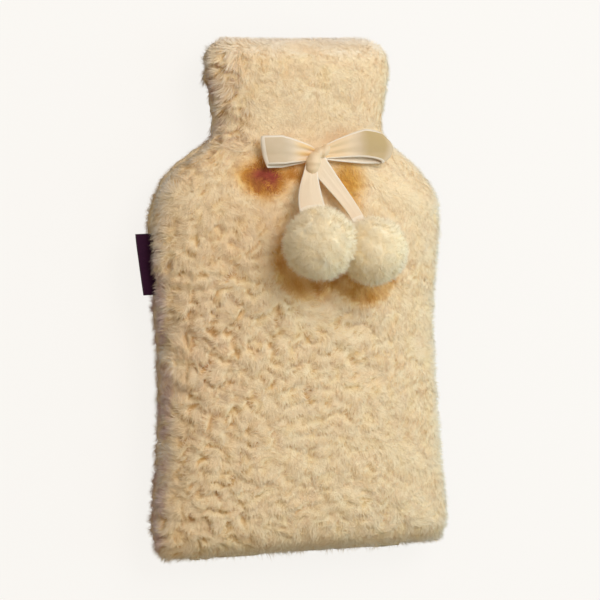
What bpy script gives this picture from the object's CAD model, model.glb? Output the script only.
# %% [markdown]
# # A plush hot water bottle cover
#
# The cover lies on its back: +Y runs from its bottom edge to its neck, +X to the right and +Z out of its
# front. Two panels of teddy fleece meet at a side seam. A satin ribbon is tied in a bow at the base of the
# neck, and a pompom hangs from each of its tails. The solids give every piece its place, and this file
# gives the pieces their cloth, pile and light.

import math

import bpy
import numpy as np
from mathutils import Matrix, Vector
from mathutils.kdtree import KDTree


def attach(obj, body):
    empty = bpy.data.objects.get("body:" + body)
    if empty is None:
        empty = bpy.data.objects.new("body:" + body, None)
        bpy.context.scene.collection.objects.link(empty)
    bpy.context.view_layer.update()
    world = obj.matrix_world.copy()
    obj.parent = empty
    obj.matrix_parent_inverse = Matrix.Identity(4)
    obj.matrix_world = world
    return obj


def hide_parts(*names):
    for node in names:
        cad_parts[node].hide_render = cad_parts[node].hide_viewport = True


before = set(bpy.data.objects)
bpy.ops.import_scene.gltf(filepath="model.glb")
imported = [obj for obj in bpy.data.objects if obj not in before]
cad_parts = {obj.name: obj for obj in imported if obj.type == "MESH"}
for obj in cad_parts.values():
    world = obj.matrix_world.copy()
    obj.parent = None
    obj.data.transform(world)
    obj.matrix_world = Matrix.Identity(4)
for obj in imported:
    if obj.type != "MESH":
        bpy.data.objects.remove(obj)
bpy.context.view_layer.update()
bpy.ops.object.select_all(action="DESELECT")
print("solids:", sorted(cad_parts))

# %% [markdown]
# ## View
#
# The photo looks from the cover's left and from a little above its head. A near camera would bend the
# outline, so a long lens stands 1.8 m away. Its matrix aims it, so it needs no constraint.

# %% Camera
BACK = Vector((-0.357, 0.099, 0.929)).normalized()  # from the cover towards the camera
AIM = Vector((0.0014, -0.00125, 0.030))
CAMERA_DISTANCE = 1.8
LENS, SENSOR = 155, 36  # mm

camera = bpy.data.objects.new("camera", bpy.data.cameras.new("camera"))
bpy.context.scene.collection.objects.link(camera)
camera.data.lens = LENS
camera.data.sensor_width = SENSOR
right = Vector((0, 1, 0)).cross(BACK).normalized()
up = BACK.cross(right)
camera.matrix_world = Matrix((
    *((right[k], up[k], BACK[k], AIM[k] + BACK[k] * CAMERA_DISTANCE) for k in range(3)),
    (0, 0, 0, 1),
))
bpy.context.scene.camera = camera
print("camera stands at", tuple(round(v, 3) for v in camera.matrix_world.translation))

# %% [markdown]
# ## Light
#
# One large soft lamp over the right shoulder casts the shadows down and to the left. A bluish lamp at the
# right, a weak one at the left and a warm room fill them. Many bounces are kept, because light that goes
# from fibre to fibre makes pale pile look soft.

# %% Lamps and room
LAMPS = (
    # name, place, size, watts, colour
    ("key lamp", (0.47, 1.11, 1.64), 1.2, 25.2, (0.96, 0.915, 0.945)),
    ("side lamp", (1.60, -0.10, 1.00), 1.2, 15, (0.44, 0.765, 1.0)),
    ("fill lamp", (-1.30, 0.75, 0.90), 1.4, 2.8, (0.70, 0.83, 1.0)),
)
ROOM_COLOUR, ROOM_STRENGTH = (0.98, 0.865, 0.69, 1), 0.375
scene = bpy.context.scene
scene.view_settings.view_transform = "Standard"
scene.view_settings.look = "None"
scene.cycles.diffuse_bounces = 10
scene.cycles.transmission_bounces = 10
scene.cycles.max_bounces = 14
for name, place, size, watts, colour in LAMPS:
    data = bpy.data.lights.new(name, "AREA")
    data.size, data.energy, data.color = size, watts, colour
    lamp = bpy.data.objects.new(name, data)
    lamp.location = place
    lamp.rotation_euler = (-Vector(place)).to_track_quat("-Z", "Y").to_euler()
    scene.collection.objects.link(lamp)
scene.world = bpy.data.worlds.new("pale room")
scene.world.use_nodes = True
room = scene.world.node_tree.nodes["Background"]
room.inputs["Color"].default_value = ROOM_COLOUR
room.inputs["Strength"].default_value = ROOM_STRENGTH

# %% [markdown]
# ## Finishes as formulas
#
# A finish is written as a formula. The class Wire holds the output of a shader node, and each sum,
# difference or product of wires adds a Math node. The class Finish holds one material, adds any other
# node, and joins the results to the Principled shader.


# %% Wires and finishes
class Wire:
    """The output of a shader node, on which Python's operators add Math nodes."""

    def __init__(self, finish, socket):
        self.finish, self.socket = finish, socket

    def __add__(self, other):
        return self.finish.math("ADD", self, other)

    def __sub__(self, other):
        return self.finish.math("SUBTRACT", self, other)

    def __rsub__(self, other):
        return self.finish.math("SUBTRACT", other, self)

    def __mul__(self, other):
        return self.finish.math("MULTIPLY", self, other)


class Finish:
    """One material, made of formulas on wires."""

    def __init__(self, name, inputs):
        self.material = bpy.data.materials.new(name)
        self.material.use_nodes = True
        self.tree = self.material.node_tree
        self.give(inputs)

    def give(self, inputs, node=None):
        """Gives the Principled shader, or another node, its values and wires."""
        node = node or self.tree.nodes["Principled BSDF"]
        for key, value in inputs.items():
            socket = node.inputs[key]
            if isinstance(value, Wire):
                self.tree.links.new(value.socket, socket)
            elif socket.type == "RGBA" and len(value) == 3:
                socket.default_value = (*value, 1)
            else:
                socket.default_value = value

    def node(self, kind, settings={}, inputs={}, output=0):
        made = self.tree.nodes.new(kind)
        for key, value in settings.items():
            setattr(made, key, value)
        self.give(inputs, made)
        return Wire(self, made.outputs[output])

    def math(self, operation, first, second=0.0):
        return self.node("ShaderNodeMath", {"operation": operation}, {0: first, 1: second})

    def mix(self, first, second, share):
        return self.node("ShaderNodeMix", {"data_type": "RGBA"}, {0: share, 6: first, 7: second}, output=2)

    def ramp(self, share, stops):
        """The colour at a share from 0 to 1, between stops of a place and a colour."""
        wire = self.node("ShaderNodeValToRGB", {}, {"Fac": share})
        elements = wire.socket.node.color_ramp.elements
        for place, _ in stops[1:-1]:
            elements.new(place)
        for element, (place, colour) in zip(elements, stops):
            element.position, element.color = place, (*colour, 1)
        return wire

    def texture(self, kind, settings, inputs):
        where = self.node("ShaderNodeTexCoord", output="Object")
        return self.node(kind, settings, {"Vector": where, **inputs})

    def noise(self, scale, detail):
        return self.texture("ShaderNodeTexNoise", {}, {"Scale": scale, "Detail": detail})

    def painted(self, name):
        """The four values that are painted on the mesh under a name."""
        colour = self.node("ShaderNodeAttribute", {"attribute_name": name}, output="Color")
        split = self.node("ShaderNodeSeparateColor", {}, {0: colour}).socket.node
        return [Wire(self, socket) for socket in (*split.outputs, colour.socket.node.outputs["Alpha"])]

    def bump(self, height, distance, strength=1.0):
        inputs = {"Height": height, "Distance": distance, "Strength": strength}
        self.give({"Normal": self.node("ShaderNodeBump", {}, inputs)})


# %% [markdown]
# ## The floor
#
# The photo's cover is cut out on white. A white floor would throw so much light up that the pile would
# lose its shadows, so this one is dark for all rays but the camera's own, and glows pale for those.

# %% Floor
FLOOR_COLOUR = (0.06, 0.06, 0.06)
FLOOR_GLOW, GLOW_STRENGTH = (0.956, 0.930, 0.888), 0.93
bpy.ops.mesh.primitive_plane_add(size=6)
floor = bpy.context.object
floor.name = "floor"
pale = Finish("pale floor", {"Roughness": 0.9, "Base Color": FLOOR_COLOUR, "Emission Color": FLOOR_GLOW})
seen = pale.node("ShaderNodeLightPath", output="Is Camera Ray")
pale.give({"Emission Strength": seen * GLOW_STRENGTH})
floor.data.materials.append(pale.material)
print("floor:", tuple(floor.dimensions), "m")

# %% [markdown]
# ## The form under the pile
#
# The cover's outline and crown are given at stations along its length, as they are cut in the solids. A
# smooth curve through the stations gives the form anywhere, and an inset gives a smaller form inside it.
# The tips of the pile reach the full form, and the mass of the pile starts 4.8 mm below them.

# %% Stations
LENGTH = 0.3645
MIDDLE = 0.18225
SEAM_HEIGHT = 0.026
FRONT_FULLNESS, BACK_FULLNESS = 2.5, 3.4
BACK_FLATTENING = 1.06
TOP_DIP, DIP_RUN = 0.0015, 0.04  # how far the top edge sags, and how far below it this fades out
STATIONS = np.array((
    # y,     left,   right,  front, back
    (0.0000, 0.1062, 0.1150, 0.028, 0.023),
    (0.0265, 0.1066, 0.1152, 0.031, 0.025),
    (0.0485, 0.1052, 0.1122, 0.034, 0.026),
    (0.0815, 0.1030, 0.1085, 0.036, 0.026),
    (0.1155, 0.1014, 0.1058, 0.036, 0.026),
    (0.1485, 0.1024, 0.1036, 0.036, 0.026),
    (0.1815, 0.1050, 0.1034, 0.036, 0.026),
    (0.2095, 0.1072, 0.1058, 0.036, 0.026),
    (0.2315, 0.1080, 0.1072, 0.035, 0.026),
    (0.2485, 0.1060, 0.1060, 0.034, 0.025),
    (0.2625, 0.0990, 0.0980, 0.032, 0.024),
    (0.2735, 0.0900, 0.0875, 0.030, 0.023),
    (0.2825, 0.0780, 0.0755, 0.028, 0.022),
    (0.2905, 0.0665, 0.0680, 0.026, 0.021),
    (0.2995, 0.0618, 0.0640, 0.024, 0.020),
    (0.3115, 0.0625, 0.0648, 0.024, 0.020),
    (0.3245, 0.0652, 0.0672, 0.024, 0.020),
    (0.3395, 0.0678, 0.0690, 0.024, 0.020),
    (0.3645, 0.0686, 0.0690, 0.023, 0.019),
))
CORNER = {"bottom": (0.013, 0.008), "top": (0.017, 0.022)}  # left and right
END_ROUNDING = {"bottom": 0.030, "top": 0.024}
LEAST_CORNER, LEAST_ROUNDING = 0.004, 0.010  # of an inset form
print("stations:", len(STATIONS), "along", LENGTH, "m")


# %% Form
def fade(distance, width):
    """0 at no distance and before it, and 1 at the width and beyond it."""
    return np.clip(distance / width, 0, 1)


def station(y):
    """Left, right, front and back of the form at distances y from the bottom edge, as columns."""
    y = np.clip(y, 0, LENGTH)
    last = len(STATIONS) - 2
    i = np.clip(np.searchsorted(STATIONS[:, 0], y, side="left") - 1, 0, last)
    here, after = STATIONS[i], STATIONS[i + 1]
    before, beyond = STATIONS[np.maximum(i - 1, 0)], STATIONS[np.minimum(i + 2, last + 1)]
    span = (after[:, 0] - here[:, 0])[:, None]
    t = (y[:, None] - here[:, :1]) / span
    rise_here = (after - before) / (after[:, :1] - before[:, :1]) * span
    rise_after = (beyond - here) / (beyond[:, :1] - here[:, :1]) * span
    values = (
        (2 * t**3 - 3 * t**2 + 1) * here
        + (t**3 - 2 * t**2 + t) * rise_here
        + (3 * t**2 - 2 * t**3) * after
        + (t**3 - t**2) * rise_after
    )
    return values[:, 1:]


def rounded(distance, radius):
    return np.sqrt(1 - (1 - fade(distance, radius)) ** 2)


def section(y, inset):
    """What station gives, with the corners and the ends rounded, as columns."""
    sides = station(y) - inset
    for end, distance in (("bottom", y - inset), ("top", LENGTH - inset - y)):
        for column, radius in enumerate(CORNER[end]):
            corner = max(radius - inset, LEAST_CORNER)
            sides[:, column] -= corner * (1 - rounded(distance, corner))
        sides[:, 2:] *= rounded(distance, max(END_ROUNDING[end] - inset, LEAST_ROUNDING))[:, None]
    return sides


def form_points(across, y, side, inset):
    """Points of the front (side 1) or back (side -1), across from -1 to 1, y from the bottom edge."""
    left, right_, front, back = section(y, inset).T
    x = across * np.where(across > 0, right_, left)
    if side > 0:
        z = SEAM_HEIGHT + front * (1 - np.abs(across) ** FRONT_FULLNESS) ** (1 / FRONT_FULLNESS)
    else:
        sag = BACK_FLATTENING * back * (1 - np.abs(across) ** BACK_FULLNESS) ** (1 / BACK_FULLNESS)
        z = np.maximum(SEAM_HEIGHT - sag, inset)
    near_top = np.clip(1 - (LENGTH - y) / DIP_RUN, 0, 1)
    return np.column_stack((x, y - MIDDLE - TOP_DIP * (1 - across**2) * near_top, z))


def front_height(x, y):
    """Height of the front over its pile, at places in the part's own x and y."""
    x, y = np.atleast_1d(x).astype(float), np.atleast_1d(y).astype(float)
    left, right_, _, _ = section(y + MIDDLE, 0).T
    across = np.clip(x / np.where(x > 0, right_, left), -1, 1)
    return form_points(across, y + MIDDLE, 1, 0)[:, 2]


def crown(y):
    return SEAM_HEIGHT + section(np.atleast_1d(y).astype(float), 0)[:, 2]


print("crown at the waist:", round(float(crown(0.14)[0]), 4))

# %% [markdown]
# ## The body of the pile
#
# Teddy fleece is dense pile on a knitted ground, and wear draws it into tufts with creases between them.
# So many fibres can't be modelled one by one, so the mass of the pile is one thick sheet on each panel,
# whose face is raised into the tufts. Fine locks are grown from it afterwards.

# %% Noise and meshes
OCTAVES = 7
rng = np.random.default_rng(11)


def smooth(share):
    share = np.clip(share, 0, 1)
    return share * share * (3 - 2 * share)


def unit(vectors):
    return vectors / np.maximum(np.linalg.norm(vectors, axis=1), 1e-9)[:, None]


def waves(points, pitch, seed):
    """Smooth noise from about -1 to 1 with a given distance between its lumps."""
    rng = np.random.default_rng(seed)
    total = np.zeros(len(points))
    for _ in range(OCTAVES):
        way = rng.normal(size=3)
        way *= 2 * math.pi / (pitch * rng.uniform(1.0, 2.2) * np.linalg.norm(way))
        total += np.sin(points @ way + rng.uniform(0, 2 * math.pi))
    return total / math.sqrt(OCTAVES)


def coordinates(mesh):
    flat = np.empty(len(mesh.vertices) * 3)
    mesh.vertices.foreach_get("co", flat)
    return flat.reshape(-1, 3)


def normals_of(mesh):
    flat = np.empty(len(mesh.vertices) * 3)
    mesh.vertex_normals.foreach_get("vector", flat)
    return flat.reshape(-1, 3)


def set_coordinates(mesh, points):
    mesh.vertices.foreach_set("co", np.ascontiguousarray(points, dtype=np.float32).ravel())
    mesh.update()


print("noise at three places:", waves(np.eye(3), 0.01, 1).round(2))

# %% Bodies
MOUTH_WIDTH, MOUTH_HEIGHT = 0.176, 0.014
HEM = 0.012  # how far from the bottom edge the hems part
BODY_STEPS = {"front": (160, 262), "back": (76, 120)}
BODY_INSET = 0.0048  # from the tips of the pile down to the deepest creases
SEAM_CROWDING, END_CROWDING = 0.85, 0.11  # how much narrower the faces are towards the seam and the ends
RIM_HEIGHT = 0.0002  # of a panel's rim over the seam's plane
NEARLY = 1e-6


def mouth_rise(x):
    """How far the hem parts from the seam's plane at a place along the bottom edge."""
    return MOUTH_HEIGHT / 2 * np.sqrt(np.clip(1 - (2 * x / MOUTH_WIDTH) ** 2, 0, 1))


def grid(name, steps_u, steps_v, place):
    """A grid whose corners place(u, v) sets, and its corners' u and v, which run from 0 to 1."""
    bpy.ops.mesh.primitive_grid_add(x_subdivisions=steps_u, y_subdivisions=steps_v, size=2)
    made = bpy.context.object
    made.name = made.data.name = name
    at = coordinates(made.data)
    u, v = (at[:, 0] + 1) / 2, (at[:, 1] + 1) / 2
    set_coordinates(made.data, place(u, v))
    return made, u, v


def body(panel, side):
    """A panel's sheet, without its tufts."""
    def place(u, v):
        turn = math.pi / 2 * (1 - (2 * u - 1))
        across = np.sign(np.cos(turn)) * np.abs(np.cos(turn)) ** SEAM_CROWDING
        share = v - END_CROWDING * np.sin(2 * math.pi * v)
        y = BODY_INSET + (LENGTH - 2 * BODY_INSET) * share
        points = form_points(np.clip(across, -1, 1), y, side, BODY_INSET)
        rim = (np.minimum(u, v) < NEARLY) | (np.maximum(u, v) > 1 - NEARLY)
        points[rim, 2] = SEAM_HEIGHT + side * RIM_HEIGHT
        hem_height = SEAM_HEIGHT + side * mouth_rise(points[:, 0])
        lifted = np.maximum(points[:, 2], hem_height) if side > 0 else np.minimum(points[:, 2], hem_height)
        hem = points[:, 1] + MIDDLE < BODY_INSET + HEM
        points[hem, 2] = lifted[hem]
        return points

    made, _, _ = grid(f"{panel}_pile_body", *BODY_STEPS[panel], place)
    if sum((p.center.z - SEAM_HEIGHT) * p.normal.z for p in made.data.polygons) < 0:
        made.data.flip_normals()  # so that the faces look away from the cover's middle
    return made


bodies = {panel: body(panel, side) for panel, side in (("front", 1), ("back", -1))}
print("bodies:", {name: len(o.data.polygons) for name, o in bodies.items()}, "faces")

# %% [markdown]
# ## Tufts
#
# Tufts are cells around scattered centres, pushed about by noise so that no two are alike. Low on the left
# they are coarse with deep creases, and on the neck and the right they are fine and even. At the head's
# left edge the pile hangs in long strands. Formulas give these places, since the photo shows where the
# pile is coarse, and not each curl.

# %% Where the tufts are coarse
TUFT_SPACING = {"coarse": 0.0092, "fine": 0.0074}
TUFT_STRETCH = np.array((1.0, 1.40, 1.0))  # tufts are wider than they are long
COARSE_FROM = 0.40  # the coarseness at which a tuft is a coarse one


def across_and_up(points):
    """The points' places across the cover, and their distances from its bottom edge."""
    return points[:, 0], points[:, 1] + MIDDLE


def off_centre(points, x, y, wide, long_):
    """How far points lie from an oval's centre, with 1 on the oval."""
    at_x, at_y = across_and_up(points)
    return np.hypot((at_x - x) / wide, (at_y - y) / long_)


def patch(points, *oval):
    """A soft spot: 1 at an oval's centre, and nearly 0 at twice its half sizes."""
    return np.exp(-(off_centre(points, *oval) ** 2))


def strands(points):
    """1 along the head's left edge, where the pile hangs in long strands, and 0 elsewhere."""
    x, y = across_and_up(points)
    return fade(-0.035 - x, 0.02) * fade(y - 0.28, 0.02)


def coarseness(points):
    """1 where the pile has drawn into deep tufts, and 0 where it lies brushed and even."""
    x, y = across_and_up(points)
    low = fade(0.276 - y, 0.075) * (1 - 0.32 * fade(0.120 - y, 0.050))
    low *= 0.36 + 0.60 * fade(0.075 - x, 0.13)
    edge = fade(-0.02 - x, 0.035) * fade(LENGTH - y, 0.03)
    edge *= np.interp(y, (0.222, 0.240, 0.278, 0.292), (1, 0.60, 0.60, 1))
    edge = 0.85 * edge + 0.35 * strands(points)
    patchy = 0.12 * waves(points, 0.035, 21) + 0.35 * patch(points, -0.075, 0.145, 0.030, 0.040)
    return np.clip(np.maximum(low, edge) + patchy, 0, 1.4)


sample = coordinates(bodies["front"].data)
print("coarse share of the front:", round(float((coarseness(sample) > COARSE_FROM).mean()), 2))

# %% [markdown]
# ## Pressed and parted pile
#
# The bow and the pompoms press the pile flat and part it down to its roots, which the photo shows in
# reddish and golden browns. Shadow alone would not give those colours, so soft ovals and rings say how
# warm the roots are at each place.

# %% Where the pile is pressed, parted or warm
POMPOMS = {
    # name: centre across, from the bottom edge, height over the cover, radius
    "pompom_left": (-0.0050, 0.2246, 0.0235, 0.0257),
    "pompom_right": (0.0348, 0.2183, 0.0215, 0.0238),
}
BOW_PLACE, BOW_HALF = (0.010, 0.2850), (0.036, 0.006)
SHADES = (
    # centre across, from the bottom edge, half sizes, strength
    (-0.0330, 0.2680, 0.0262, 0.0192, 1.00),
    (-0.0085, 0.2712, 0.0260, 0.0110, 0.56),
    (0.0262, 0.2640, 0.0205, 0.0285, 0.40),
)
PARTING = (0.0268, 0.2645, 0.0125, 0.0185)  # like SHADES, at the right tail
RING_SHIFT = (0.004, -0.0130)  # of the warm ring from the middle of its pompom, as the shadow falls
RING_RADIUS, RING_FADE = 0.90, 0.0090  # share of the pompom's radius, and width of the ring's soft edge


def on_front(points):
    return points[:, 2] > SEAM_HEIGHT


def pressed(points):
    """1 where the bow or a pompom presses the front's pile flat, and 0 away from them."""
    x, y = across_and_up(points)
    under = np.zeros(len(points))
    for px, py, _, radius in POMPOMS.values():
        under = np.maximum(under, 1 - fade(np.hypot(x - px, y - py) - radius * 0.50, 0.010))
    beside = [
        np.clip(np.abs(at - middle) - half, 0, 1) for at, middle, half in zip((x, y), BOW_PLACE, BOW_HALF)
    ]
    return np.maximum(under, 0.8 * (1 - fade(np.hypot(*beside), 0.006))) * on_front(points)


def parted(points):
    """1 where the pile is parted down to its roots at the right tail, and 0 elsewhere."""
    return smooth(1.3 - off_centre(points, *PARTING)) * on_front(points)


def warmth(points):
    """1 where the pile shows its warm roots, below the bow and the pompoms, and 0 elsewhere."""
    x, y = across_and_up(points)
    shown = np.zeros(len(points))
    for *oval, strength in SHADES:
        shown = np.maximum(shown, strength * smooth((1 - off_centre(points, *oval)) / 0.8))
    mottled = 0.50 + 0.05 * waves(points, 0.008, 92)
    for px, py, _, radius in POMPOMS.values():
        away = np.hypot(x - px - RING_SHIFT[0], y - py - RING_SHIFT[1])
        shown = np.maximum(shown, smooth(1 - (away - radius * RING_RADIUS) / RING_FADE) * mottled)
    shown *= np.clip(0.92 + 0.18 * waves(points, 0.006, 91), 0, 1.1)
    return np.clip(shown, 0, 1) * on_front(points)


print("warm share of the front:", round(float((warmth(sample) > 0.2).mean()), 3))

# %% [markdown]
# ## Scattered points
#
# Tufts and locks both start from points spread evenly over a mesh. A tree of points then tells which of
# them are near, so that tufts can be kept apart and each place can find its own tuft.


# %% Scatter
def scatter(mesh, count, rng):
    """Points spread evenly over a mesh's faces, with the faces' smooth normals."""
    mesh.calc_loop_triangles()
    corners = np.empty(len(mesh.loop_triangles) * 3, dtype=np.int32)
    mesh.loop_triangles.foreach_get("vertices", corners)
    corners = corners.reshape(-1, 3)
    points, normals = coordinates(mesh), normals_of(mesh)
    a, b, c = (points[corners[:, k]] for k in range(3))
    area = np.linalg.norm(np.cross(b - a, c - a), axis=1)
    chosen = rng.choice(len(area), size=count, p=area / area.sum())
    s, t = rng.random(count), rng.random(count)
    over = s + t > 1
    s[over], t[over] = 1 - s[over], 1 - t[over]
    weights = np.column_stack((1 - s - t, s, t))
    place = sum(weights[:, k : k + 1] * points[corners[chosen, k]] for k in range(3))
    facing = sum(weights[:, k : k + 1] * normals[corners[chosen, k]] for k in range(3))
    return place, unit(facing)


def tree_of(points):
    tree = KDTree(len(points))
    for i, p in enumerate(points):
        tree.insert(p, i)
    tree.balance()
    return tree


def nearest_two(tree, points):
    """For each point, its nearest two in the tree, and how much farther away the second is."""
    found = [tree.find_n(p, 2) for p in points]
    first, second = (np.array([f[k][1] for f in found]) for k in range(2))
    return first, second, np.array([f[1][2] - f[0][2] for f in found])


def thin_out(points, spacing):
    """Keeps points that lie at least a spacing apart."""
    tree = tree_of(points)
    keep = np.ones(len(points), dtype=bool)
    for i, p in enumerate(points):
        if keep[i]:
            for _, j, _ in tree.find_range(p, spacing):
                if j > i:
                    keep[j] = False
    return keep


# %% [markdown]
# ## Raising the tufts
#
# The face of each sheet is pushed out into tufts. A crease is deep only here and there, because most
# neighbouring tufts mat together. A displacement in the material would leave the mesh flat, and a modifier
# can't ask a tree of tufts, so the mesh's own points are moved.

# %% Tufts
CREASE_WIDTH = 0.0020
CREASE_DEPTH = {"coarse": 0.0033, "fine": 0.0010}
TUFT_TOP = 0.0034  # height of a tuft's crown over the sheet
SEEDS = 11000  # points from which the tufts' centres are kept


class Tufts:
    """The tufts of one panel."""

    def __init__(self, mesh, seed):
        self.seed = seed
        rng = np.random.default_rng(seed)
        seeds, _ = scatter(mesh, SEEDS, rng)
        coarse = coarseness(seeds)
        keep = thin_out(seeds * TUFT_STRETCH, TUFT_SPACING["fine"]) & (coarse < COARSE_FROM)
        rough = np.flatnonzero(coarse >= COARSE_FROM)
        keep[rough[thin_out(seeds[rough] * TUFT_STRETCH, TUFT_SPACING["coarse"])]] = True
        self.centres = seeds[keep]
        self.level = rng.random(len(self.centres))
        self.turn = rng.normal(0, 1, len(self.centres))
        self.tree = tree_of(self.centres * TUFT_STRETCH)

    def at(self, points):
        """Each point's tuft, its height there from 0 in a crease to 1 on a crown, and room for a lock."""
        moved = points
        for pitch, size, seed in ((0.010, 0.0034, self.seed + 30), (0.004, 0.0007, self.seed + 40)):
            moved = moved + np.column_stack([waves(points, pitch, seed + k) for k in range(3)]) * size
        first, other, farther = nearest_two(self.tree, moved * TUFT_STRETCH)
        edge = farther / 2
        apart = unit((self.centres[other] - self.centres[first]) * TUFT_STRETCH)[:, 1]
        open_ = np.clip(0.50 + 1.3 * waves(points, 0.0065, self.seed + 50), 0, 1)
        step = np.abs(self.level[first] - self.level[other])
        depth = np.clip(open_ * (0.45 + 0.9 * step) * (0.38 + 0.85 * apart**2), 0, 1)
        depth *= 0.12 + 0.88 * coarseness(points)
        crease = np.exp(-((edge / (CREASE_WIDTH * (1 + 0.6 * apart))) ** 1.3)) * depth
        room = edge / 1.4 + 0.0012 + 0.004 * (1 - depth) + 0.004 * np.maximum(apart, 0)
        return first, 1 - crease, room


def relief(points, tufts):
    """How far the sheet's face is pushed out, how high it stands in its tuft, and which tuft that is."""
    tuft, share, _ = tufts.at(points)
    size = coarseness(points)
    deep = CREASE_DEPTH["fine"] + (CREASE_DEPTH["coarse"] - CREASE_DEPTH["fine"]) * size
    height = TUFT_TOP - deep * (1 - share) - deep * 0.30 * tufts.level[tuft]
    lip = np.clip((tufts.centres[tuft, 1] - points[:, 1]) / 0.004, -1, 1)
    height += (0.0002 + 0.0007 * size) * lip + 0.0003 * waves(points, 0.016, tufts.seed + 60)
    flat = np.maximum(0.45 * pressed(points), 0.35 * warmth(points))
    return np.clip(height * (1 - flat), 0.0002, 0.0040), share, tuft


def shade(points, level):
    """1 on the left flank's deeper tufts, where the pile is dull and mauve, and 0.1 at the waist's left."""
    x, y = across_and_up(points)
    flank = smooth((0.0095 - section(y, 0)[:, 0] - x) / 0.006) * (x < 0)
    flank *= np.interp(y, (0.215, 0.235, 0.284, 0.294, 0.330, 0.345), (1, 0, 0, 0.75, 0.75, 0))
    dull = 0.10 * patch(points, -0.080, 0.150, 0.024, 0.050) * on_front(points)
    return np.maximum(flank * (0.15 + 0.85 * smooth((level - 0.38) / 0.25)), dull)


def mixed(points, level, rng):
    """Each point's chance, from 0 to 1: a third is its own, a third its tuft's and a third its place's."""
    place = np.clip(0.5 + 0.45 * waves(points, 0.020, 77), 0, 1)
    return (rng.random(len(points)) + level + place) / 3


def paint(mesh, name, *values):
    """Stores four values for each vertex, under a name that the finishes read."""
    layer = mesh.color_attributes.new(name, "FLOAT_COLOR", "POINT")
    layer.data.foreach_set("color", np.column_stack(values).astype(np.float32).ravel())


# %% Raise the tufts
tufts = {}
for panel, seed in (("front", 3), ("back", 8)):
    mesh = bodies[panel].data
    tufts[panel] = Tufts(mesh, seed)
    points, normals = coordinates(mesh), normals_of(mesh)
    height, share, tuft = relief(points, tufts[panel])
    from_seam = np.abs(points[:, 2] - SEAM_HEIGHT)
    from_hem = points[:, 1] + MIDDLE - BODY_INSET
    held = np.clip(from_seam / 0.004, 0.15, 1)  # a tuft is lower where it is sewn down
    held = np.minimum(held, 0.30 + 0.70 * smooth((from_hem - 0.002) / 0.012))
    set_coordinates(mesh, points + normals * (height * held)[:, None])
    level = tufts[panel].level[tuft]
    bare = parted(points)
    chance = mixed(points, level, rng) * (1 - 0.8 * bare)
    rise = np.maximum(share**2 * 0.6, 0.6 * smooth(1.2 - from_seam / 0.006))
    rise += 0.3 * smooth((points[:, 1] - MIDDLE + 0.020) / 0.008)
    rise *= 1 - 0.95 * bare
    paint(mesh, "lock", rise, chance, warmth(points), shade(points, level))
print("tufts:", {panel: len(t.centres) for panel, t in tufts.items()})

# %% [markdown]
# ## Locks
#
# A lock of pile is a flat spike of four triangles, so that a hundred thousand of them stay light. A hair
# system would give fibres without a mesh of their own, so the locks are built from arrays and joined into
# a few meshes. A lock's broad face is shaded with the slope of the pile round it, because separate spikes
# would glitter.

# %% Locks
LOCK_SIDES = 3


def lock_mesh(name, root, tip, facing, width, tint, own):
    """Joins locks into one mesh. Each is a flat spike whose broad face looks the way it faces.

    tint gives a lock's height in the pile at its root and tip, its chance, warmth and shade. own is the share
    of its own slope in its shading.
    """
    count = len(root)
    side = unit(np.cross(tip - root, facing))
    under = -unit(np.cross(side, tip - root))
    verts = np.empty((count, LOCK_SIDES + 1, 3))
    verts[:, 0] = root - side * width[:, None] / 2
    verts[:, 1] = root + side * width[:, None] / 2
    verts[:, 2] = root + under * width[:, None] * 0.45
    verts[:, 3] = tip
    faces, corners = [(2, 1, 0)], [((0.66, 0), (0.33, 0), (0, 0))]
    for k in range(LOCK_SIDES):
        faces.append((k, (k + 1) % LOCK_SIDES, LOCK_SIDES))
        corners.append(((k / LOCK_SIDES, 0), ((k + 1) / LOCK_SIDES, 0), ((k + 0.5) / LOCK_SIDES, 1)))
    faces, corners = np.array(faces), np.array(corners)
    loops = (faces + (LOCK_SIDES + 1) * np.arange(count)[:, None, None]).reshape(-1, 3)
    mesh = bpy.data.meshes.new(name)
    mesh.from_pydata(verts.reshape(-1, 3), [], loops)
    rows = math.ceil(math.sqrt(count))
    cell = np.column_stack((np.arange(count) % rows, np.arange(count) // rows)) / rows
    inside = 0.08 + 0.84 * corners.reshape(-1, 2)
    uv = (cell[:, None, :] + inside[None, :, :] / rows).reshape(-1, 2)
    layer = mesh.uv_layers.new(name="OFBake")
    layer.data.foreach_set("uv", uv.astype(np.float32).ravel())
    colours = np.empty((count, LOCK_SIDES + 1, 4))
    colours[:, :3, 0], colours[:, 3, 0] = tint[:, :1], tint[:, 1]
    colours[:, :, 1:] = tint[:, None, 2:]
    paint(mesh, "lock", colours.reshape(-1, 4))
    mesh.shade_smooth()
    corner = verts[:, faces]
    shading = np.cross(corner[:, :, 1] - corner[:, :, 0], corner[:, :, 2] - corner[:, :, 0])
    shading /= np.maximum(np.linalg.norm(shading, axis=2), 1e-12)[:, :, None]
    shading[:, 1] = unit(shading[:, 1] * own[:, None] + facing * (1 - own[:, None]))
    shading = np.repeat(shading.reshape(-1, 3), 3, axis=0)
    mesh.normals_split_custom_set(shading.astype(np.float32))
    made = bpy.data.objects.new(name, mesh)
    scene.collection.objects.link(made)
    return made


# %% [markdown]
# ## Growing the pile
#
# Each lock leans nearly the way its neighbours do, down and a little to the left, and is drawn towards its
# tuft's crown. At the seams the pile is cut, so locks are trimmed there to the outline. Each step works on
# all the locks at once as arrays, because a loop over them would be slow.

# %% Trim and edges
LOCK_LENGTH = 0.0038
LOCK_LIFT = 0.30  # how steeply a lock rises, as a share of its length
LOCK_SUNK = 0.0005  # how far its root is below the sheet's face


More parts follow.
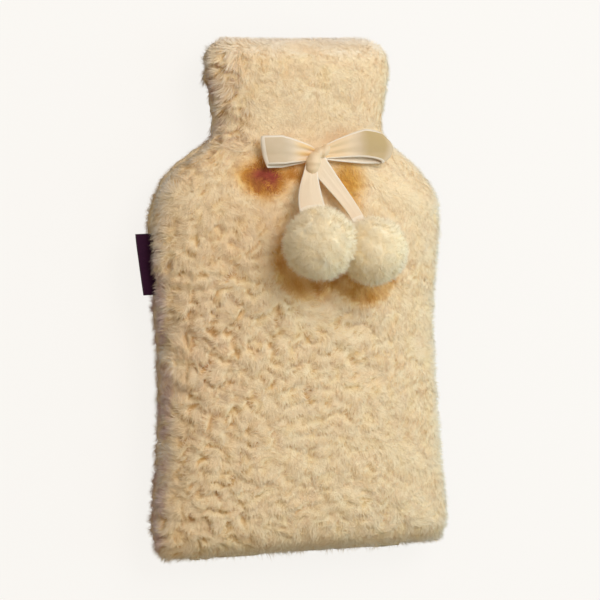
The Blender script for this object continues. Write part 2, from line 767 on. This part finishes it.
def trim(tip, over):
    """Cuts locks that would stand over the outline, as the pile is cut at the seams."""
    tip = tip.copy()
    y = np.clip(tip[:, 1] + MIDDLE, 0, LENGTH)
    left, right_ = section(y, 0)[:, :2].T
    dip = np.maximum(TOP_DIP * (1 - (tip[:, 0] / 0.069) ** 2), 0)
    tip[:, 1] = np.clip(tip[:, 1], -MIDDLE - over, LENGTH - MIDDLE + 0.2 * over - dip)
    over = over * np.clip((LENGTH - y) / 0.012, 0.4, 1) * np.where(y > 0.290, 0.6, 1.0)
    tip[:, 0] = np.clip(tip[:, 0], -left - over, right_ + over)
    tip[:, 2] = np.maximum(tip[:, 2], 0.0004)
    return tip


def edges_near(root, side):
    """1 at the side seams, the top and the front's foot, and 0 a little inside each of them."""
    left, right_ = section(root[:, 1] + MIDDLE, 0)[:, :2].T
    brim = fade(np.abs(root[:, 0]) / np.where(root[:, 0] > 0, right_, left) - 0.86, 0.12)
    head = fade(root[:, 1] + MIDDLE - LENGTH + 0.012, 0.008)
    return brim, head, fade(0.012 - root[:, 1] - MIDDLE, 0.008) * (side > 0)


def lean(tufts, side, root, normal, tuft, brim, head, rng):
    """The way in which each lock leans, along the pile's face."""
    x, y = across_and_up(root)
    long_ = strands(root)
    base = -1.5 - 0.9 * fade(-0.02 - x, 0.07) + 0.5 * fade(x - 0.04, 0.06)
    base -= 0.8 * fade(-0.02 - x, 0.04) * fade(root[:, 1] - 0.10, 0.02)
    stray = waves(root, 0.024, tufts.seed + 5) * 0.9 + tufts.turn[tuft] * (0.35 + 0.45 * coarseness(root))
    stray += rng.normal(0, 0.38, len(root))
    turn = base + stray * (1 - 0.62 * long_)
    flat = unit(np.cross((0.0, 1.0, 0.0), normal))
    along = np.cross(normal, flat)
    way = flat * np.cos(turn)[:, None] + along * np.sin(turn)[:, None]
    pull = tufts.centres[tuft] - root
    pull -= normal * (pull * normal).sum(1)[:, None]
    shaggy = (x < 0) & (y < 0.285)  # the left edge below the neck
    to_seam = np.where(shaggy, 0.9, 1.4) if side > 0 else -1.9
    way += flat * (to_seam * np.sign(x) * brim)[:, None] + along * (1.3 * head)[:, None]
    return unit(way - pull * 45 * (1 - 0.6 * long_)[:, None])


def strand_gaps(points):
    """1 in the dark gaps between bundles of strands, which run to the left and down, and 0 on the bundles."""
    x, y, z = points.T
    along, across = x * 0.85 + y * 0.53, y * 0.85 - x * 0.53
    return smooth(0.40 - 0.9 * waves(np.column_stack((along / 4, across, z / 2)), 0.0030, 73))


# %% Grow the pile
def grow(panel, side, count, seed):
    """A panel's locks: roots, tips, facing, widths, tints and shares of their own slope."""
    rng = np.random.default_rng(seed)
    root, normal = scatter(bodies[panel].data, round(count * (1.3 if side > 0 else 2.2)), rng)
    tuft, share, room = tufts[panel].at(root)
    wanted = np.where(share < 0, 0, 0.12 + 0.88 * np.abs(share) ** 1.5)  # few in the creases
    wanted *= np.where(root[:, 2] > 0.0065, 1.0, 0.30)
    keep = np.flatnonzero(rng.random(len(root)) < wanted)[:count]
    root, normal, tuft, share, room = (values[keep] for values in (root, normal, tuft, share, room))
    count = len(keep)
    size, low, long_ = coarseness(root), pressed(root), strands(root)
    brim, head, foot = edges_near(root, side)
    fringe = np.maximum(np.maximum(brim, head), foot)
    way = lean(tufts[panel], side, root, normal, tuft, brim, head, rng)

    length = LOCK_LENGTH * (0.70 + 0.55 * rng.random(count)) * (1.15 - 0.05 * size) * (1 - 0.3 * low)
    length *= 1 + 0.9 * long_ + 0.30 * fringe + 0.15 * foot
    length = np.minimum(length, room + 0.0035 * long_ + 0.0025 * fringe)
    lift = LOCK_LIFT * (0.55 + 0.9 * rng.random(count)) * (1 - 0.7 * low) * (0.6 + 0.4 * size)
    lift += (0.38 - 0.20 * foot) * fringe * rng.random(count)
    tip = root + (way + normal * lift[:, None]) * length[:, None]
    root -= normal * LOCK_SUNK
    tip = trim(tip, (0.0006 + 0.0026 * rng.random(count) ** 2) * (1 - 0.8 * long_))
    facing = unit(normal + np.array((0, 0, 0.9)) * head[:, None] + rng.normal(0, 0.20, (count, 3)))
    between = strand_gaps(root) * long_
    tip -= (tip - root) * (0.55 * between)[:, None]
    root -= normal * (0.0020 * between)[:, None]
    width = (0.00050 + 0.00020 * rng.random(count)) * (1 - 0.30 * fringe + 0.25 * long_)

    level, bare = tufts[panel].level[tuft], parted(root)
    chance = mixed(root, level, rng) * (1 - 0.6 * np.maximum(fringe, long_)) * (1 - 0.8 * bare)
    at_root = np.maximum(share**2 * 0.5 + 0.50 * fringe, 0.50 * long_) * (1 - 0.95 * bare)
    at_tip = (0.13 + share**1.5 * 0.72 + 0.15 * np.maximum(fringe, 1.6 * long_)) * (1 - 0.92 * bare)
    at_root, at_tip = at_root * (1 - 0.38 * between), at_tip * (1 - 0.45 * between)
    dull = np.maximum(shade(root, level), 0.5 * between)
    tint = np.column_stack((at_root, at_tip, chance, warmth(root), dull))
    return root, tip, facing, width, tint, 0.20 + 0.12 * size + 0.20 * long_


PILE_LIMIT = 49500  # locks to a piece
locks = {}
for panel, side, count, seed in (("front", 1, 98000, 3), ("back", -1, 36000, 8)):
    grown = grow(panel, side, count, seed)
    order = np.argsort(grown[0][:, 1])
    parts = math.ceil(count / PILE_LIMIT)
    for n, chosen in enumerate(np.array_split(order, parts)):
        name = f"{panel}_pile" if parts == 1 else f"{panel}_pile_{n + 1}"
        locks[name] = lock_mesh(name, *(values[chosen] for values in grown))
print("pile:", {name: len(o.data.polygons) for name, o in locks.items()}, "triangles")

# %% [markdown]
# ## Finish of the pile
#
# A lock is golden and dull at its root, where little light comes, and pale at its tip. Each vertex carries
# its height in the pile, so one formula colours sheet and locks alike: a ramp by height, then a little
# straw by chance, and gold, reddish brown and mauve where the photo shows them.

# %% Finish of the pile
SHEET_THICKNESS = 0.0022
PILE_COLOURS = {
    "crease": (0.62, 0.33, 0.06),
    "shaft": (0.89, 0.70, 0.40),
    "tip": (0.93, 0.82, 0.62),
    "pale": (0.95, 0.89, 0.78),
    "straw": (0.92, 0.72, 0.43),
    "golden": (0.82, 0.44, 0.06),
    "warm": (0.36, 0.07, 0.04),
    "mauve": (0.66, 0.42, 0.46),
}


def pile_material(name, bumpy):
    finish = Finish(name, {"Roughness": 0.9, "Specular IOR Level": 0.3})
    rise, chance, warm, dull = finish.painted("lock")
    stops = ((0.0, "crease"), (0.45, "shaft"), (0.85, "tip"), (1.0, "pale"))
    colour = finish.ramp(rise, [(place, PILE_COLOURS[key]) for place, key in stops])
    shares = {"straw": chance * 0.55, "golden": warm * 1.7, "warm": (warm - 0.30) * 1.45}
    shares["mauve"] = dull * (0.95 - rise * 0.5)
    for key, share in shares.items():
        colour = finish.mix(colour, PILE_COLOURS[key], share)
    finish.give({"Base Color": colour})
    if bumpy:
        finish.bump(finish.noise(900, 3.0), 0.0006)
    return finish


def thicken(obj, thickness, offset=-1.0):
    modifier = obj.modifiers.new("thickness", "SOLIDIFY")
    modifier.thickness = thickness
    modifier.offset = offset
    bpy.context.view_layer.objects.active = obj
    bpy.ops.object.modifier_apply(modifier=modifier.name)
    obj.data.shade_smooth()


pile_finish = pile_material("cream teddy pile", False)
body_finish = pile_material("body of the pile", True)
for piece in locks.values():
    piece.data.materials.append(pile_finish.material)
    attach(piece, "root")
for panel, node in (("front", "front_panel"), ("back", "back_panel")):
    piece = bodies[panel]
    thicken(piece, SHEET_THICKNESS)
    piece.data.materials.append(body_finish.material)
    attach(piece, "root")
    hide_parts(node)
print("dressed:", [piece.name for piece in (*bodies.values(), *locks.values())])

# %% [markdown]
# ## Pompoms
#
# A yarn pompom is a ball of cut ends. Its mass is a core drawn into soft clumps, and fine locks stand from
# the core nearly straight out. Where the two pompoms touch, and where one lies on the cover, the locks are
# pressed flat. That is done by moving points to a plane and to the cover's form, with no simulation.

# %% Places of the pompoms
SOFTENED = np.array((0.0, 0.0, 0.45))  # yarn passes light on, and is shaded less than a hard ball
POMPOM_CORE = 0.87  # of the radius
POMPOM_LOCKS = 23000
POMPOM_CLUMPS = 240


def ball(name):
    """A pompom's centre and radius, and the plane where the other one presses it: way and reach."""
    def centre(x, y, height, radius):
        return np.array((x, y - MIDDLE, front_height(x, y - MIDDLE)[0] + height)), radius

    mine, radius = centre(*POMPOMS[name])
    other, other_radius = centre(*next(row for key, row in POMPOMS.items() if key != name))
    apart = other - mine
    distance = np.linalg.norm(apart)
    reach = (distance + (radius**2 - other_radius**2) / distance) / 2 - 0.0002
    return mine, radius, apart / distance, reach


def press(points, centre, way, reach):
    """Holds a pompom's points back from the other pompom and from the cover. centre is where it hangs."""
    over = np.maximum(points @ way - reach, 0)
    points = points - way * over[:, None] + centre
    floor = front_height(points[:, 0], points[:, 1]) - 0.0012
    points[:, 2] = np.maximum(points[:, 2], floor)
    return points


def clump_of(rays, tree, seed):
    """Each ray's clump, and how high it stands there, from 0 between clumps to 1 on a crown."""
    clump, _, farther = nearest_two(tree, rays + waves(rays, 0.5, seed)[:, None] * 0.03)
    return clump, 1 - np.exp(-((farther / 0.055) ** 1.4))


print("pompoms at", {name: ball(name)[0].round(4) for name in POMPOMS})

# %% Cores and locks
pompoms = {}
for seed, name in enumerate(POMPOMS, start=51):
    rng = np.random.default_rng(seed)
    centre, radius, way, reach = ball(name)
    clumps = unit(rng.normal(size=(POMPOM_CLUMPS, 3)))
    chance, stray = rng.random(POMPOM_CLUMPS), rng.normal(0, 0.013, POMPOM_CLUMPS)
    tree = tree_of(clumps)

    bpy.ops.mesh.primitive_ico_sphere_add(subdivisions=5, radius=1)
    core = bpy.context.object
    core.name = core.data.name = f"{name}_body"
    rays = unit(coordinates(core.data))
    clump, share = clump_of(rays, tree, seed)
    spread = POMPOM_CORE * (0.975 + 0.040 * share + 0.018 * waves(rays, 0.9, seed + 1) + stray[clump])
    set_coordinates(core.data, press(rays * (radius * spread)[:, None], centre, way, reach - 0.0004))
    plain = np.zeros(len(rays))
    paint(core.data, "lock", 0.48 + 0.30 * share, chance[clump], plain, plain)
    core.data.shade_smooth()

    rays = unit(rng.normal(size=(POMPOM_LOCKS, 3)))
    clump, share = clump_of(rays, tree, seed)
    aside = np.cross(rays, unit(rng.normal(size=(POMPOM_LOCKS, 3))))
    gather = clumps[clump] - rays
    root = rays * (radius * POMPOM_CORE * (0.965 + 0.030 * share + stray[clump]))[:, None]
    stand = 0.930 + 0.170 * rng.random(POMPOM_LOCKS) ** 2.5 - 0.02 * (1 - share)
    stand = stand + 0.018 * waves(rays, 0.8, seed + 2) + stray[clump]
    tip = unit(rays + aside * 0.20 + gather * 0.75) * (radius * stand)[:, None]
    facing = unit(rays + SOFTENED + rng.normal(0, 0.13, (POMPOM_LOCKS, 3)))
    width = 0.00028 + 0.00016 * rng.random(POMPOM_LOCKS)
    plain = np.zeros(POMPOM_LOCKS)
    varied = (rng.random(POMPOM_LOCKS) + chance[clump]) / 2
    tint = np.column_stack((0.42 + 0.44 * share, 0.62 + 0.34 * share, varied, plain, plain))
    root, tip = press(root, centre, way, reach), press(tip, centre, way, reach)
    pompoms[name] = (core, lock_mesh(f"{name}_locks", root, tip, facing, width, tint, plain + 0.23))
print("pompoms:", {name: [len(o.data.polygons) for o in pair] for name, pair in pompoms.items()}, "faces")

# %% [markdown]
# ## Finish of the pompoms
#
# The yarn's ends are paler and cooler than the pile. The ramp by height gives the dark depth between them,
# and a weak sheen gives their soft rim. The right pompom is a little warmer, as in the photo.

# %% Finish of the pompoms
YARN = {"Roughness": 0.95, "Specular IOR Level": 0.2, "Sheen Weight": 0.25, "Sheen Roughness": 0.6}
for name, (deep, middle, end) in (
    ("pompom_left", ((0.80, 0.65, 0.40), (0.99, 0.89, 0.64), (1.0, 0.94, 0.74))),
    ("pompom_right", ((0.86, 0.67, 0.40), (1.0, 0.90, 0.64), (1.0, 0.94, 0.74))),
):
    finish = Finish(f"{name} yarn", YARN)
    rise, chance, _, _ = finish.painted("lock")
    colour = finish.ramp(rise, ((0.0, deep), (0.5, middle), (1.0, end)))
    finish.give({"Base Color": finish.mix(colour, deep, chance * 0.14)})
    for piece in pompoms[name]:
        piece.data.materials.append(finish.material)
        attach(piece, "root")
        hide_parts(name)

# %% [markdown]
# ## The ribbon
#
# The bow is tied from one satin ribbon. Each loop goes out flat on the pile, turns at its end and comes
# back over itself, a little higher, so the edge of its lower layer peeks out. The tails run down to the
# pompoms and go into them. Satin is thin and nearly flat, so each length is a curved grid with a thickness,
# and its width gathers into pleats at the knot. Cloth simulation would not keep to the photo's bow.

# %% Loops
SATIN = 0.0004  # thickness
LOOP_WIDTH = 0.0196  # a ribbon of 22 mm lies in soft curves across, so it looks a little narrower
KNOT = (0.0045, 0.2840)
KNOT_SIZE = (0.0085, 0.0054, 0.0052)
KNOT_HALF = 0.0038  # half the ribbon's width where it is gathered
LIFT = 0.0007  # of the ribbon's middle over the pile
LOOPS = (
    # name, way out, reach, lower edge, rise, how far the lower layer peeks out along it and at its end,
    # rounding and slant of the end
    ("bow_loop_left", -1, 0.0428, 0.2748, 0.0042, 0.0026, 0.9, 0.0012, 0.0038),
    ("bow_loop_right", 1, 0.0552, 0.2764, 0.0037, 0.0052, 0.0, 0.0090, 0.0),
)


def loop_points(u, v, direction, reach, low, rise, peek, end_peek, corner, slant):
    """A loop, whose lower layer goes out on the pile, and whose upper layer comes back over it."""
    turn = 2 * math.pi * (0.02 + 0.96 * u)
    out = (1 - np.cos(turn)) / 2
    spread = np.minimum(1, out / 0.60) ** 0.75
    upper = smooth((u - 0.42) / 0.16)
    shift = peek * upper * (1 - (1 - end_peek) * out**4)
    bottom = KNOT[1] - KNOT_HALF + (low + shift - KNOT[1] + KNOT_HALF) * spread
    width = 2 * KNOT_HALF + (LOOP_WIDTH - 2 * KNOT_HALF) * spread
    round_end = corner * out**6 * np.abs(2 * v - 1) ** 2.4
    x = KNOT[0] + direction * (0.003 + (reach - 0.003 - round_end - slant * (1 - v) * out**2) * out)
    y = bottom + v * width
    base = np.maximum(crown(np.full(len(u), KNOT[1])), crown(y)) + LIFT
    height = (KNOT_SIZE[2] - 0.0020) * (1 - spread) + rise / 2 * (1 - np.sin(turn)) * spread
    bowed = 0.0010 * np.sin(math.pi * v) * spread * upper
    pleat = 0.0006 * (1 - spread) ** 0.8 * np.sin(v * 5.5 * math.pi + 0.6)
    return np.column_stack((x, y - MIDDLE, base + height + bowed + pleat))


# %% Tails
TAIL_SAG = 0.0030  # halfway between the knot and the pompom
TAILS = (
    # name, pompom, where across it starts and ends, half its width at the knot and at the pompom
    ("bow_tail_left", "pompom_left", -0.0012, -0.0075, 0.0034, 0.0112),
    ("bow_tail_right", "pompom_right", 0.0000, 0.0268, 0.0072, 0.0050),
)


def tail_points(name, u, v, pompom, start, finish, knot_half, end_half):
    """A tail: it drops from the knot to the cover and rises into its pompom."""
    centre, radius, _, _ = ball(pompom)
    tie = np.array((start, KNOT[1] - MIDDLE - 0.0010, crown(KNOT[1])[0] + KNOT_SIZE[2] - 0.0010))
    back = math.acos((finish - centre[0]) / radius)
    across = (2 * v - 1)[:, None]
    turn = back - across * end_half / radius
    aim = unit(np.column_stack((np.cos(turn), np.sin(turn), np.full(len(u), -0.35))))
    end = centre + aim * (radius - 0.002)
    toward = np.array((math.cos(back), math.sin(back), -0.35))
    aside = np.array((math.sin(back), -math.cos(back), 0))
    first = tie + aside * across * knot_half
    run = np.linalg.norm(tie - centre)
    near = first + (centre - tie) * 0.25 + aside * across * (end_half - knot_half) * 0.15
    far = end + toward * 0.25 * run
    u = u[:, None]
    s = 1 - u
    points = s**3 * first + 3 * s * s * u * near + 3 * s * u * u * far + u**3 * end
    pleat = (0.00016 * np.cos(2.5 * math.pi * across) * np.sin(math.pi * u))[:, 0]
    fold = (0.0001 * np.sin(6 * math.pi * across) * s**2)[:, 0]
    floor = front_height(points[:, 0], points[:, 1]) + 0.0012
    lowest = floor + np.maximum(pleat, 0) + fold
    raised = np.maximum(points[:, 2], floor) + np.maximum(pleat, 0) + fold
    points[:, 2] = np.maximum(raised - TAIL_SAG * np.sin(math.pi * u[:, 0]), lowest)
    if name == "bow_tail_right":
        points[:, 2] += 0.0007 * s[:, 0]  # it crosses over the left one
    return points


# %% Strips
def loop_look(name, u, v):
    """How far out each corner lies, how much gold shines through it, and how light it looks."""
    out, upper = (1 - np.cos(2 * math.pi * u)) / 2, smooth((u - 0.47) / 0.06)
    inner = smooth((0.42 - out) / 0.25)
    if name == "bow_loop_left":
        golden = upper * (0.08 + 0.92 * inner * (0.55 + 0.45 * np.cos(5 * math.pi * v)))
        return out, golden, 1 - upper * 0.55 * smooth((out - 0.20) / 0.35)
    dark = upper * smooth((out - 0.30) / 0.35) * (1 - 0.4 * smooth((out - 0.85) / 0.14)) * (0.8 + 0.2 * v)
    return out * 0.9, upper * (0.22 + 0.28 * inner), 1 - dark


def strip(name, steps_u, steps_v, place):
    """A grid on which its look is painted: out, across, golden and light."""
    made, u, v = grid(name, steps_u, steps_v, place)
    out, golden, light = loop_look(name, u, v) if "loop" in name else (u, 0 * u, 0 * u + 1)
    paint(made.data, "strip", out, v, golden, light)
    return made


ribbons = []
for name, *shape in LOOPS:
    ribbons.append(strip(name, 96, 18, lambda u, v: loop_points(u, v, *shape)))
for name, *shape in TAILS:
    ribbons.append(strip(name, 60, 18, lambda u, v: tail_points(name, u, v, *shape)))
for piece in ribbons:
    thicken(piece, SATIN, 0.0)
print("ribbon:", {piece.name: [round(v, 4) for v in piece.dimensions[:2]] for piece in ribbons}, "m")

# %% [markdown]
# ## The knot
#
# The ribbon goes once round the middle of the bow. The knot is a soft cushion with a waist, and the band that
# wraps it is gathered, so folds run along it.

# %% Knot
KNOT_LUMPS = (
    # name, centre across and from the bottom edge, half sizes, slope, height over the pile
    ("bow_knot", (0.0056, 0.2846), (0.0068, 0.0048, 0.0047), 0.0030, 0.0048),
    ("bow_knot_wrap", (-0.0006, 0.2776), (0.0054, 0.0076, 0.0044), 0.0016, 0.0054),
)
knots = []
for turn, (name, (x, y), (wide, long_, high), slope, height) in enumerate(KNOT_LUMPS):
    bpy.ops.mesh.primitive_uv_sphere_add(segments=72, ring_count=44, radius=1)
    knot = bpy.context.object
    knot.name = knot.data.name = name
    at = coordinates(knot.data)
    waist = 1 - 0.20 * np.exp(-((at[:, turn] / 0.25) ** 2)) * (turn == 0)
    folds = 0.05 * np.sin(at[:, turn] * 9 + at[:, 1 - turn] * 2.4 + 0.7) * (1 - np.abs(at[:, turn]))
    placed = np.column_stack((
        x + at[:, 0] * wide * (1 + folds * turn),
        y - MIDDLE + at[:, 1] * long_ * waist * (1 + folds) + slope * at[:, 0],
        crown(y)[0] + height + at[:, 2] * high * waist * (1 + folds),
    ))
    placed[:, 2] = np.maximum(placed[:, 2], front_height(placed[:, 0], placed[:, 1]) + 0.0002)
    plain = np.ones(len(at))
    paint(knot.data, "strip", (at[:, 0] + 1) / 2, plain * 0.5, plain * 0.32, plain)
    set_coordinates(knot.data, placed)
    knot.data.shade_smooth()
    knots.append(knot)
print("knot:", [k.name for k in knots])

# %% [markdown]
# ## Satin
#
# Satin's long threads lie flat, so it is smoother than the pile and has a soft sheen. A fine wave is its
# weave. Its woven edge, the selvedge, is paler, and gold shines through where the layers lie close. The
# light value of its corners gives the dark hollow in each loop.

# %% Satin
satin = Finish("cream satin", {"Sheen Weight": 0.25, "Sheen Roughness": 0.4})
along_, across_, golden, light = satin.painted("strip")
edge = satin.math("MAXIMUM", satin.math("ABSOLUTE", across_ * 2 - 1), (along_ - 0.90) * 30)
selvedge = satin.math("GREATER_THAN", edge, 0.87)
stops = ((0.0, (0.46, 0.33, 0.13)), (0.45, (0.68, 0.54, 0.365)), (1.0, (0.88, 0.71, 0.49)))
colour = satin.ramp(light - satin.noise(160, 3.0) * 0.12, stops)
colour = satin.mix(colour, (0.84, 0.55, 0.22), golden)
colour = satin.mix(colour, (0.92, 0.82, 0.66), selvedge * 0.8)
satin.give({"Base Color": colour, "Roughness": 0.46 - selvedge * 0.12})
weave = satin.texture("ShaderNodeTexWave", {}, {"Scale": 1100.0})
satin.bump(weave + satin.noise(2600, 1.0) * 0.4, 0.00006, 0.5)
for piece in (*ribbons, *knots):
    piece.data.materials.append(satin.material)
    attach(piece, "root")
    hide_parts("ribbon_bow")

# %% [markdown]
# ## The label
#
# A short strip of dark woven ribbon is folded in two and sewn into the left seam. It is left bare. Its
# weave is a fine rib, and its cut end is a little lighter.

# %% Label
LABEL_FROM, LABEL_TO = 0.1880, 0.2300
LABEL_OUT = {"top": 0.0095, "bottom": 0.0065}  # beyond the solids' edge
LABEL_IN = 0.0060  # back through the pile to the seam


def label_points(u, v):
    y = LABEL_FROM + (LABEL_TO - LABEL_FROM) * v
    edge = section(y, 0)[:, 0]
    out = LABEL_OUT["bottom"] + (LABEL_OUT["top"] - LABEL_OUT["bottom"]) * v
    x = -edge + LABEL_IN - (LABEL_IN + out) * u
    z = SEAM_HEIGHT + 0.0022 * u * u + 0.0006 * np.sin(math.pi * v)
    return np.column_stack((x, y - MIDDLE, z))


label = strip("side_label", 16, 40, label_points)
thicken(label, 0.0009, 0.0)
print("label:", tuple(round(v, 4) for v in label.dimensions), "m")

# %% Finish of the label
DARK_THREAD, LIGHT_THREAD = (0.016, 0.003, 0.013), (0.036, 0.006, 0.028)
SPECK, CUT_END = (0.05, 0.011, 0.037), (0.06, 0.03, 0.045)
woven = Finish("dark woven label", {"Roughness": 0.8, "Specular IOR Level": 0.15})
along_, _, _, _ = woven.painted("strip")
rib = woven.texture("ShaderNodeTexWave", {"bands_direction": "Y"}, {"Scale": 380.0})
speck = woven.noise(1500, 2.0)
colour = woven.mix(woven.mix(DARK_THREAD, LIGHT_THREAD, rib), SPECK, speck * 0.5)
woven.give({"Base Color": woven.mix(colour, CUT_END, woven.math("GREATER_THAN", along_, 0.975))})
woven.bump(rib + speck * 0.5, 0.00012, 0.8)
label.data.materials.append(woven.material)
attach(label, "root")
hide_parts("label")
